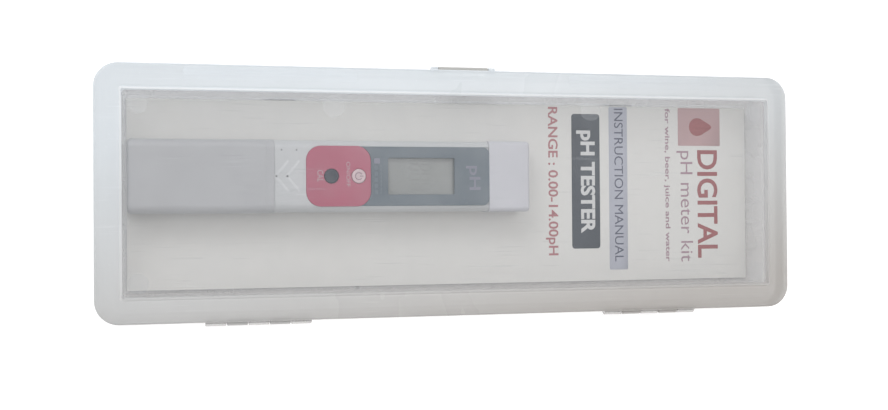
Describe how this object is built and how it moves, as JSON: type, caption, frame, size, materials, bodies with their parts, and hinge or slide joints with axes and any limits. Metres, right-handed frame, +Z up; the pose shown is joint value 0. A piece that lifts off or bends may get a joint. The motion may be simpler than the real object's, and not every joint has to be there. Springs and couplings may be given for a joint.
{
  "type": "digital ph meter",
  "caption": "Slim pen-shaped pH meter with probe cap, display and buttons, lying on its leaflet in a frosted hinged case with a latch.",
  "frame": {"origin": "middle of the closed case's underside, on the surface that it stands on", "axes": "+X along the case from the probe end of the meter to its battery end, +Y from the case's hinge to its latch, +Z up"},
  "size_m": [0.266, 0.095, 0.0186],
  "materials": {
    "frosted_plastic": "frosted",
    "steel": "satin",
    "latch_plastic": "satin",
    "cover_card": "coated card",
    "page_paper": "matte paper",
    "cap_plastic": "satin",
    "sponge": "open cell",
    "housing_plastic": "satin",
    "black_plastic": "satin",
    "seal_rubber": "matte",
    "probe_plastic": "gloss",
    "probe_glass": "clear",
    "ceramic": "matte",
    "panel_plastic": "gloss",
    "button_plastic": "satin",
    "bezel_plastic": "gloss",
    "clear_lens": "clear",
    "lcd_glass": "satin",
    "board_laminate": "satin",
    "contact_brass": "satin",
    "cover_plastic": "satin"
  },
  "bodies": {
    "case": {"case_base": "frosted_plastic", "tray_frame": "frosted_plastic", "hinge_pins": "steel", "leaflet_cover": "cover_card", "leaflet_pages": "page_paper", "leaflet_staples": "steel"},
    "lid": {"case_lid": "frosted_plastic", "latch_pin": "steel"},
    "latch": {"case_latch": "latch_plastic"},
    "meter": {"front_shell": "housing_plastic", "rear_shell": "housing_plastic", "housing_screws": "steel", "probe_holder": "black_plastic", "cap_seal": "seal_rubber", "probe_stem": "probe_plastic", "probe_guard": "probe_plastic", "glass_bulb": "probe_glass", "reference_junction": "ceramic", "probe_lead": "black_plastic", "button_panel": "panel_plastic", "display_bezel": "bezel_plastic", "display_lens": "clear_lens", "lcd_panel": "lcd_glass", "lcd_connectors": "seal_rubber", "circuit_board": "board_laminate", "circuit_chips": "black_plastic", "switches": "black_plastic", "battery_tray": "black_plastic", "coin_cell": "steel", "contact_positive": "contact_brass", "contact_negative": "contact_brass"},
    "cap": {"protective_cap": "cap_plastic", "storage_sponge": "sponge"},
    "battery_cap": {"battery_cover": "cover_plastic"},
    "cal_key": {"cal_button": "black_plastic"},
    "power_key": {"power_button": "button_plastic"}
  },
  "joints": [
    {"name": "lid_hinge", "type": "hinge", "parent": "case", "child": "lid", "pos_m": [0, -0.0458, 0.01005], "axis": [1, 0, 0], "range_deg": [0, 180]},
    {"name": "latch_flip", "type": "hinge", "parent": "lid", "child": "latch", "pos_m": [0, 0.0457, 0.0137], "axis": [1, 0, 0], "range_deg": [0, 100]},
    {"name": "meter_slide", "type": "slide", "parent": "case", "child": "meter", "axis": [1, 0, 0], "range_m": [0, 0.058]},
    {"name": "cap_pull", "type": "slide", "parent": "meter", "child": "cap", "axis": [-1, 0, 0], "range_m": [0, 0.058]},
    {"name": "battery_cover_pull", "type": "slide", "parent": "meter", "child": "battery_cap", "axis": [1, 0, 0], "range_m": [0, 0.016]},
    {"name": "cal_press", "type": "slide", "parent": "meter", "child": "cal_key", "axis": [0, 0, -1], "range_m": [0, 0.0006], "stiffness_N_per_m": 800},
    {"name": "power_press", "type": "slide", "parent": "meter", "child": "power_key", "axis": [0, 0, -1], "range_m": [0, 0.0006], "stiffness_N_per_m": 800}
  ],
  "couplings": [
    {"joint": "cap_pull", "follows": "meter_slide", "ratio": 1}
  ]
}
